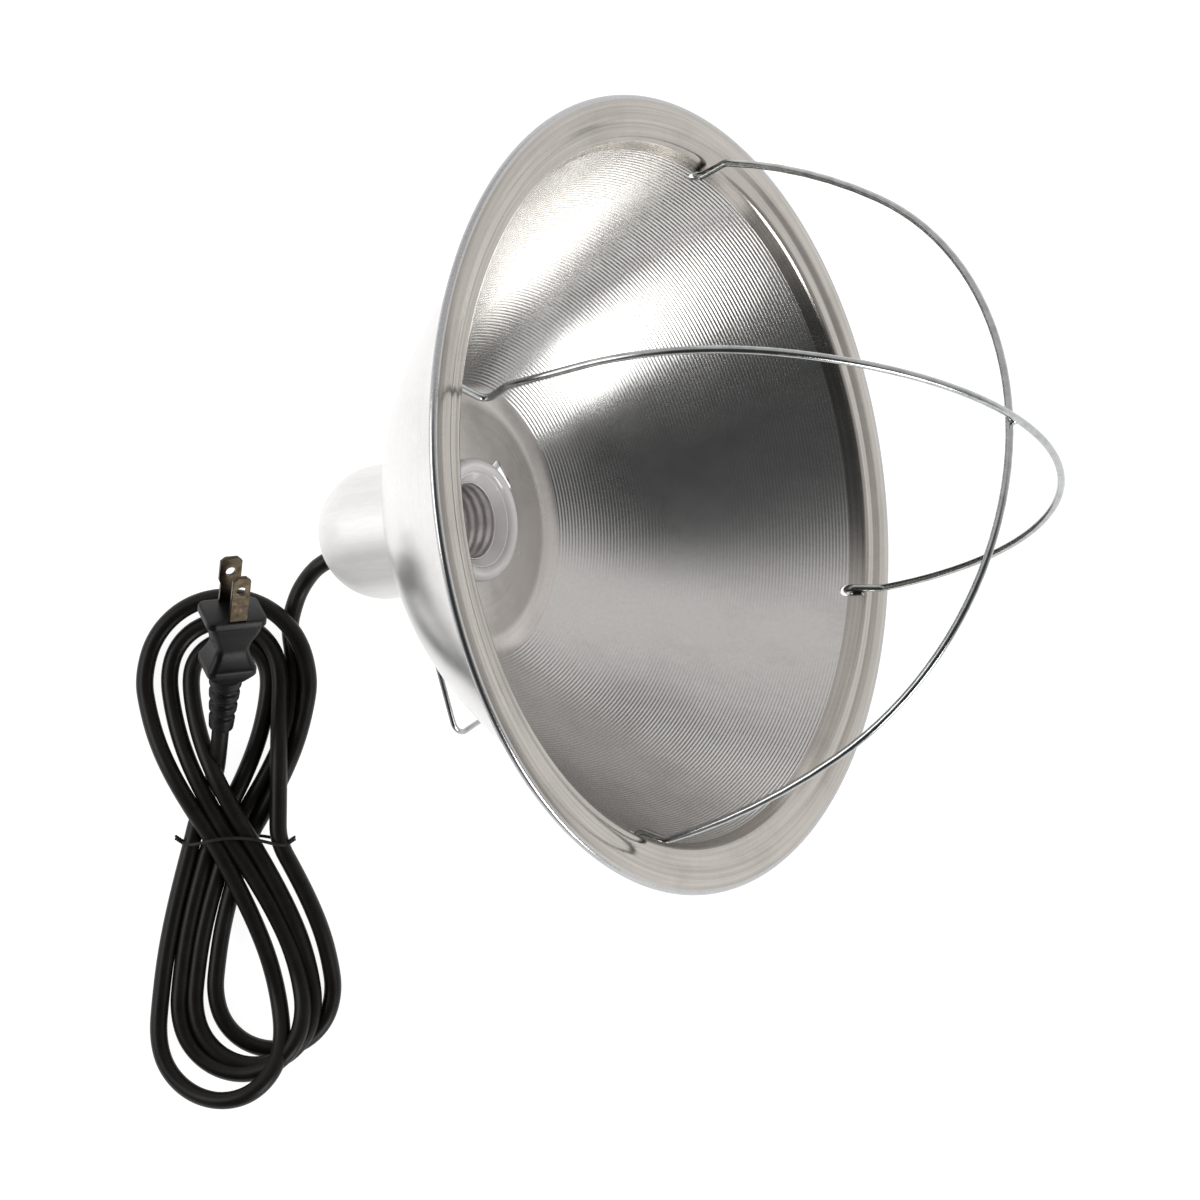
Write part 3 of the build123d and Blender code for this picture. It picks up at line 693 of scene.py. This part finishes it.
# ---------------------------------------------------------------- cord
DOME_CENTRE = RIM_CENTRE + AXIS * DOME_CENTRE_Z * MM
CORD_EXIT = DOME_CENTRE + EXIT_DIR * BUSHING_OUT * MM
CORD_R = 3.15
FLOOR_Z = CORD_R + 0.05
PLUG_LENGTH = 28.0
RELIEF_LENGTH = 22.0
ACROSS = Vector((0.9943, -0.1070))
ALONG = Vector((-0.1070, -0.9943))
WAIST = Vector((-164.3, -104.2))


def lying(x, y, z):
    """A point of the cord or the plug in metres, from millimetres below the rim's centre."""
    return Vector((RIM_CENTRE.x + x * MM, y * MM, z * MM))


def on_hank(a, l, z):
    """A point of the hank: a across its waist, l towards its lower lobe, z above the surface."""
    x, y = WAIST + ACROSS * a + ALONG * l
    return lying(x, y, z)


PLUG_AXIS = Vector((0.195, 0.808, 0.553)).normalized()
PLUG_FACE = lying(-155.2, -22.2, 47.2)
PLUG_END = PLUG_FACE - PLUG_AXIS * (PLUG_LENGTH + RELIEF_LENGTH) * MM

# first side, second side and far end of each lobe of the figure-eight, how high its end is lifted
# over the turns below it and where round the lobe (in half turns), then the next crossing of the waist
LOW, HIGH = 3.9, 10.4
LOBES = [
    (-15.0, 27.4, 80.5, 6.0, 1.1, (5.3, HIGH)),
    (-16.5, 11.2, -72.0, 2.5, 0.25, (-9.5, LOW)),
    (-20.6, 23.7, 83.4, 10.0, 1.2, (-2.1, HIGH)),
    (-24.2, 15.2, -79.0, 3.5, 1.35, (14.8, HIGH)),
    (34.3, -7.6, 75.5, 0.0, 1.0, (3.5, LOW)),
    (25.5, -33.0, -87.7, 7.0, 0.85, (-8.0, HIGH)),
    (16.2, -27.9, 92.4, 14.0, 0.85, (-16.0, LOW)),
]
SIDE_POINTS = 4
END_POINTS = 7
SPLINE_INSET = 1.025     # the spline passes this much inside the points of a bend
FADE_FROM, FADE_TO = 25.0, 52.0      # from the waist: between these the cord sinks to the surface
HUMP_WIDTH = 0.28        # half turns of a lobe over which its end is lifted


def lobe_points(start, lobe):
    """Points of one lobe, from just after its first waist crossing up to its second."""
    first, second, far, lift, lift_at, end = lobe
    middle, half = (first + second) / 2, (first - second) / 2
    shoulder = far - math.copysign(abs(half), far)
    places = []
    for k in range(1, SIDE_POINTS + 1):
        along = k / (SIDE_POINTS + 1)
        open_out = math.sin(math.pi / 2 * along)
        places.append((start[0] + (first - start[0]) * open_out, shoulder * along))
    for k in range(END_POINTS):
        turn = math.pi * k / (END_POINTS - 1)
        across, beyond = half * math.cos(turn), (far - shoulder) * math.sin(turn)
        places.append((middle + SPLINE_INSET * across, shoulder + SPLINE_INSET * beyond))
    for k in range(SIDE_POINTS, -1, -1):
        along = k / (SIDE_POINTS + 1)
        open_out = math.sin(math.pi / 2 * along)
        places.append((end[0] + (second - end[0]) * open_out, shoulder * along))
    points = []
    for k, (a, l) in enumerate(places):
        round_lobe = (k + 1) / len(places) * 2
        near_z = start[1] if round_lobe < 1 else end[1]
        fade = min(1.0, max(0.0, (FADE_TO - abs(l)) / (FADE_TO - FADE_FROM)))
        hump = math.exp(-((round_lobe - lift_at) / HUMP_WIDTH) ** 2)
        points.append(on_hank(a, l, FLOOR_Z + (near_z - FLOOR_Z) * fade + lift * hump))
    return points


def cord_route():
    """Guide points: the lead from the dome, the seven lobes of the hank, and the tail to the plug."""
    points = [
        CORD_EXIT,
        CORD_EXIT + EXIT_DIR * 4.5 * MM,
        lying(-128.6, -12.6, 7.1),
        lying(-132.7, -17.7, 4.1),
        lying(-135.6, -23.9, 3.3),
        lying(-137.6, -30.2, 3.2),
        on_hank(20.3, -65.0, FLOOR_Z),
        on_hank(20.2, -52.0, FLOOR_Z),
        on_hank(17.5, -38.0, FLOOR_Z),
        on_hank(11.0, -24.0, FLOOR_Z),
        on_hank(3.5, -11.0, 3.6),
        on_hank(-3.0, 0.0, LOW),
    ]
    crossing = (-3.0, LOW)
    for lobe in LOBES:
        points += lobe_points(crossing, lobe)
        crossing = lobe[-1]
    points += [
        on_hank(-14.5, -6.5, 3.6),
        on_hank(-12.0, -13.0, 3.4),
        on_hank(-9.6, -19.5, 4.0),
        lying(-169.0, -78.6, 6.4),
        lying(-167.3, -72.4, 12.2),
        PLUG_END - PLUG_AXIS * 5.0 * MM,
        PLUG_END,
    ]
    return points


def cord():
    line = curve("cord_line", cord_route(), CORD_R * MM, order=3, bevel=5)
    return adopt(line, ["cord_lead", "cord_hank", "cord_tail"], materials=(CORD_BLACK,))


def twist_tie():
    """A thin covered wire round the waist, twisted to a short tail at each end."""
    loop = [(-19.9, 2.0), (-19.3, 5.6), (-16.5, 8.2), (-12.5, 12.0), (-8.2, 14.2), (-2.0, 14.3), (5.3, 14.4),
            (10.5, 14.0), (14.9, 14.3), (18.4, 12.2), (18.7, 8.4), (13.5, 4.4), (8.0, 1.2), (3.5, 0.7),
            (-3.0, 0.7), (-9.5, 0.7), (-16.2, 0.7)]
    band = curve("tie_loop", [on_hank(a, 1.5 * math.sin(0.9 * k), z) for k, (a, z) in enumerate(loop)],
                 0.6 * MM, order=3, cyclic=True, bevel=3)
    adopt(band, ["twist_tie"], materials=(TIE_BLACK,))
    coil_r, turns, steps = 0.55, 1.5, 24
    ends = ("tie_twist_left", -1, (-19.6, 0.5, 4.0)), ("tie_twist_right", 1, (18.6, 0.5, 10.5))
    for name, side, (a, l, z) in ends:
        for strand in (0, 1):
            points = []
            for k in range(steps + 1):
                along = k / steps
                turn = 2 * math.pi * turns * along + math.pi * strand
                points.append(on_hank(a + side * 2.2 * along, l - 1.6 * along + coil_r * math.cos(turn),
                                      z + 1.2 * along + coil_r * math.sin(turn)))
            twist = curve(f"{name}_{strand}", points, 0.5 * MM, order=3, bevel=3)
            adopt(twist, ["twist_tie"], materials=(TIE_BLACK,))


# ---------------------------------------------------------------- plug
def plug_place():
    """The plug's own frame: its face at Z = 0, the blades towards +Z, their width along X."""
    width = Vector((0.963, 0.090, -0.254))
    width = (width - PLUG_AXIS * width.dot(PLUG_AXIS)).normalized()
    turned = Matrix((width, PLUG_AXIS.cross(width), PLUG_AXIS)).transposed().to_4x4()
    return Matrix.Translation(PLUG_FACE) @ turned


def rounded_rectangle(width, depth, corner, z, count=10):
    """The outline of a rounded rectangle at height z, as one ring of points."""
    corner = min(corner, width / 2 - 0.01, depth / 2 - 0.01)
    ring = []
    for quarter, (sx, sy) in enumerate(((1, 1), (-1, 1), (-1, -1), (1, -1))):
        for k in range(count + 1):
            turn = math.pi / 2 * (quarter + k / count)
            ring.append((sx * (width / 2 - corner) + corner * math.cos(turn),
                         sy * (depth / 2 - corner) + corner * math.sin(turn), z))
    return ring


def plug_body():
    """Sections (width, depth, corner radius, z): a face plate, a pinched waist, a finger flange, a rear."""
    sizes = [(20.3, 14.6, 2.6, 0.0), (21.3, 15.6, 2.9, -0.2), (21.7, 16.0, 3.1, -0.7), (21.7, 16.0, 3.1, -2.6),
             (21.2, 15.5, 3.0, -3.0), (19.0, 15.2, 2.8, -3.4)]
    for k in range(1, 11):
        along = k / 10
        ease = along * along * (3 - 2 * along)
        sizes.append((18.6 - 6.2 * ease, 15.0 - 3.0 * ease, 2.6, -3.6 - 10.4 * along))
    for k in range(1, 7):
        along = k / 6
        sizes.append((12.4 + 5.0 * along ** 1.5, 12.0 + 3.4 * along ** 1.5, 2.6, -14.0 - 6.6 * along))
    sizes += [(17.8, 15.8, 2.8, -20.9), (18.0, 16.0, 2.9, -21.4), (18.0, 16.0, 2.9, -23.2),
              (17.6, 15.6, 2.9, -23.7), (14.6, 13.4, 4.5, -26.4), (12.6, 12.2, 5.8, -27.8),
              (11.9, 11.9, 5.9, -PLUG_LENGTH)]
    body = loft("plug_moulding", [rounded_rectangle(*size) for size in reversed(sizes)], smooth_angle=28)
    return adopt(body, ["plug_body"], materials=(PLUG_BLACK,), matrix=plug_place())


def strain_relief():
    """The tapered sleeve behind the plug, with three grooves in it."""
    front_r, end_r, depth, half_groove, steps = 6.0, 4.35, 0.9, 1.1, 110

    def radius(z):
        bare = front_r - (front_r - end_r) * z / RELIEF_LENGTH
        for groove in (4.5, 10.0, 15.5):
            bare -= depth / (1 + math.exp(6 * (abs(z - groove) - half_groove)))
        return bare - 0.8 * max(0.0, z - RELIEF_LENGTH + 0.8) ** 2

    rings = []
    for k in range(steps + 1):
        z = RELIEF_LENGTH * k / steps
        rings.append([(radius(z) * math.cos(a), radius(z) * math.sin(a), -PLUG_LENGTH - z)
                      for a in (2 * math.pi * j / 40 for j in range(40))])
    sleeve = loft("plug_sleeve", list(reversed(rings)), smooth_angle=50)
    return adopt(sleeve, ["plug_strain_relief"], materials=(PLUG_BLACK,),
                 matrix=plug_place())


def blade(name, node, width, neck, offset):
    """A flat blade with a chamfered tip, eased edges and a hole. Below its head it is neck wide."""
    half, narrow, out, into = width / 2, neck / 2, 18.0, -2.6
    cut_in, cut_down, head = 1.7, 1.5, 9.0
    half_t, eased, hole_r, hole_in = 0.75, 0.22, 1.8, 5.7
    side = [(half, out - cut_down), (half - cut_in, out)]
    if neck < width:
        side = [(narrow, into), (narrow, out - head - 1.5), (half, out - head)] + side
    else:
        side = [(half, into)] + side
    outline = side + [(-x, z) for x, z in reversed(side)]
    shape = bmesh.new()
    mesh = bpy.data.meshes.new(name)
    layers = [[shape.verts.new((x * MM, y * MM, z * MM)) for x, z in outline] for y in (-half_t, half_t)]
    shape.faces.new(layers[0])
    shape.faces.new(list(reversed(layers[1])))
    for k in range(len(outline)):
        n = (k + 1) % len(outline)
        shape.faces.new((layers[0][k], layers[1][k], layers[1][n], layers[0][n]))
    bmesh.ops.recalc_face_normals(shape, faces=shape.faces)
    bmesh.ops.bevel(shape, geom=shape.edges[:], offset=eased * MM, segments=2, affect="EDGES", profile=0.5)
    shape.to_mesh(mesh)
    shape.free()
    bar = bpy.data.objects.new(name, mesh)
    hole = Matrix.Translation((0, 0, (out - hole_in) * MM)) @ Matrix.Rotation(math.pi / 2, 4, "X")
    cut(bar, [rod(hole_r, 6, hole, segments=32)])
    place = plug_place() @ Matrix.Translation((0, offset * MM, 0))
    return adopt(bar, [node], materials=(BLADE,), matrix=place)


# ---------------------------------------------------------------- CAD nodes that stay
def finish_cad_nodes():
    """Materials and smooth shading for the small and inner pieces, which keep their CAD meshes."""
    kept = {
        "guard_weld": ZINC, "neck_collar": STEEL, "collar_screw": STEEL, "dome_screws": STEEL,
        "terminal_screws": STEEL, "fibre_washer": FIBRE, "shell_rivet": BRASS, "centre_contact": BRASS,
        "terminal_plates": BRASS, "cord_knot": CORD_BLACK, "conductors": INSULATION,
    }
    for name, material in kept.items():
        node = frame["nodes"][name]
        node.data.materials.clear()
        node.data.materials.append(material)
        node.data.polygons.foreach_set("use_smooth", [True] * len(node.data.polygons))
        node.data.set_sharp_from_angle(angle=math.radians(35))


# ---------------------------------------------------------------- camera, floor and light
def camera():
    """Nearly straight down on the lamp."""
    place = RIM_CENTRE + Vector((-104.21, -32.32, 1095.53)) * MM
    data = bpy.data.cameras.new("view")
    data.lens = 99.21
    data.sensor_width = 36.0
    data.clip_end = 20.0
    eye = bpy.data.objects.new("view", data)
    bpy.context.scene.collection.objects.link(eye)
    forward = Vector((0.0661, 0.0, -0.9978)).normalized()
    right = Vector((0.9921, -0.1071, 0.0657))
    right = (right - forward * right.dot(forward)).normalized()
    turned = Matrix((right, right.cross(forward), -forward)).transposed().to_4x4()
    eye.matrix_world = Matrix.Translation(place) @ turned
    bpy.context.scene.camera = eye


def floor():
    """A plain pale surface under everything."""
    mesh = bpy.data.meshes.new("floor")
    shape = bmesh.new()
    bmesh.ops.create_grid(shape, x_segments=1, y_segments=1, size=4.0)
    shape.to_mesh(mesh)
    shape.free()
    ground = bpy.data.objects.new("floor", mesh)
    bpy.context.scene.collection.objects.link(ground)
    ground.location.z = -0.0002
    paint = Paint("floor_paint", (0.35, 0.35, 0.35), roughness=0.9)
    paint.surface.inputs["Specular IOR Level"].default_value = 0.0
    paint.surface.inputs["Emission Color"].default_value = (1, 1, 1, 1)
    paint.surface.inputs["Emission Strength"].default_value = 0.93
    mesh.materials.append(paint.material)


def light(name, place, size, power):
    data = bpy.data.lights.new(name, "AREA")
    data.shape = "RECTANGLE"
    data.size, data.size_y = size
    data.energy = power
    lamp = bpy.data.objects.new(name, data)
    bpy.context.scene.collection.objects.link(lamp)
    lamp.location = place
    aim = Vector((0, 0, 0.08)) - Vector(place)
    lamp.rotation_euler = aim.to_track_quat("-Z", "Y").to_euler()


def studio():
    """A pale sky that is dark overhead and dimmer on the -Y side, and two soft lamps."""
    world = bpy.data.worlds.new("studio")
    world.use_nodes = True
    bpy.context.scene.world = world
    tree = world.node_tree
    place = tree.nodes.new("ShaderNodeTexCoord")
    towards = tree.nodes.new("ShaderNodeVectorMath")
    towards.operation = "DOT_PRODUCT"
    towards.inputs[1].default_value = (0.0, -0.35, 0.94)
    ramp = tree.nodes.new("ShaderNodeValToRGB")
    tree.links.new(place.outputs["Generated"], towards.inputs[0])
    tree.links.new(towards.outputs["Value"], ramp.inputs["Fac"])
    bands = ramp.color_ramp.elements
    bands[0].position, bands[0].color = 0.56, (0.80, 0.785, 0.785, 1)
    bands[1].position, bands[1].color = 0.80, (0.10, 0.105, 0.107, 1)
    split = tree.nodes.new("ShaderNodeSeparateXYZ")
    side = tree.nodes.new("ShaderNodeMapRange")
    for name, value in (("From Min", -0.7), ("From Max", 0.3), ("To Min", 0.35), ("To Max", 1.0)):
        side.inputs[name].default_value = value
    tree.links.new(place.outputs["Generated"], split.inputs["Vector"])
    tree.links.new(split.outputs["Y"], side.inputs["Value"])
    tree.links.new(ramp.outputs["Color"], tree.nodes["Background"].inputs["Color"])
    tree.links.new(side.outputs["Result"], tree.nodes["Background"].inputs["Strength"])
    light("soft_key", (0.75, -1.3, 0.68), (0.7, 0.7), 13.5)
    light("soft_left", (-1.4, 0.2, 0.8), (0.9, 0.9), 8.0)
    bpy.context.scene.view_settings.view_transform = "Standard"


# ---------------------------------------------------------------- build
camera()
cord_line = cord()
twist_tie()
plug_pieces = [plug_body(), strain_relief(),
               blade("blade_line", "plug_blade_line", 6.5, 6.5, -6.35),
               blade("blade_neutral", "plug_blade_neutral", 7.9, 6.4, 6.35)]
reflector()
guard()
bail()
socket_ring()
socket_body()
screw_shell()
dome_cap()
bushing()
finish_cad_nodes()
floor()
studio()
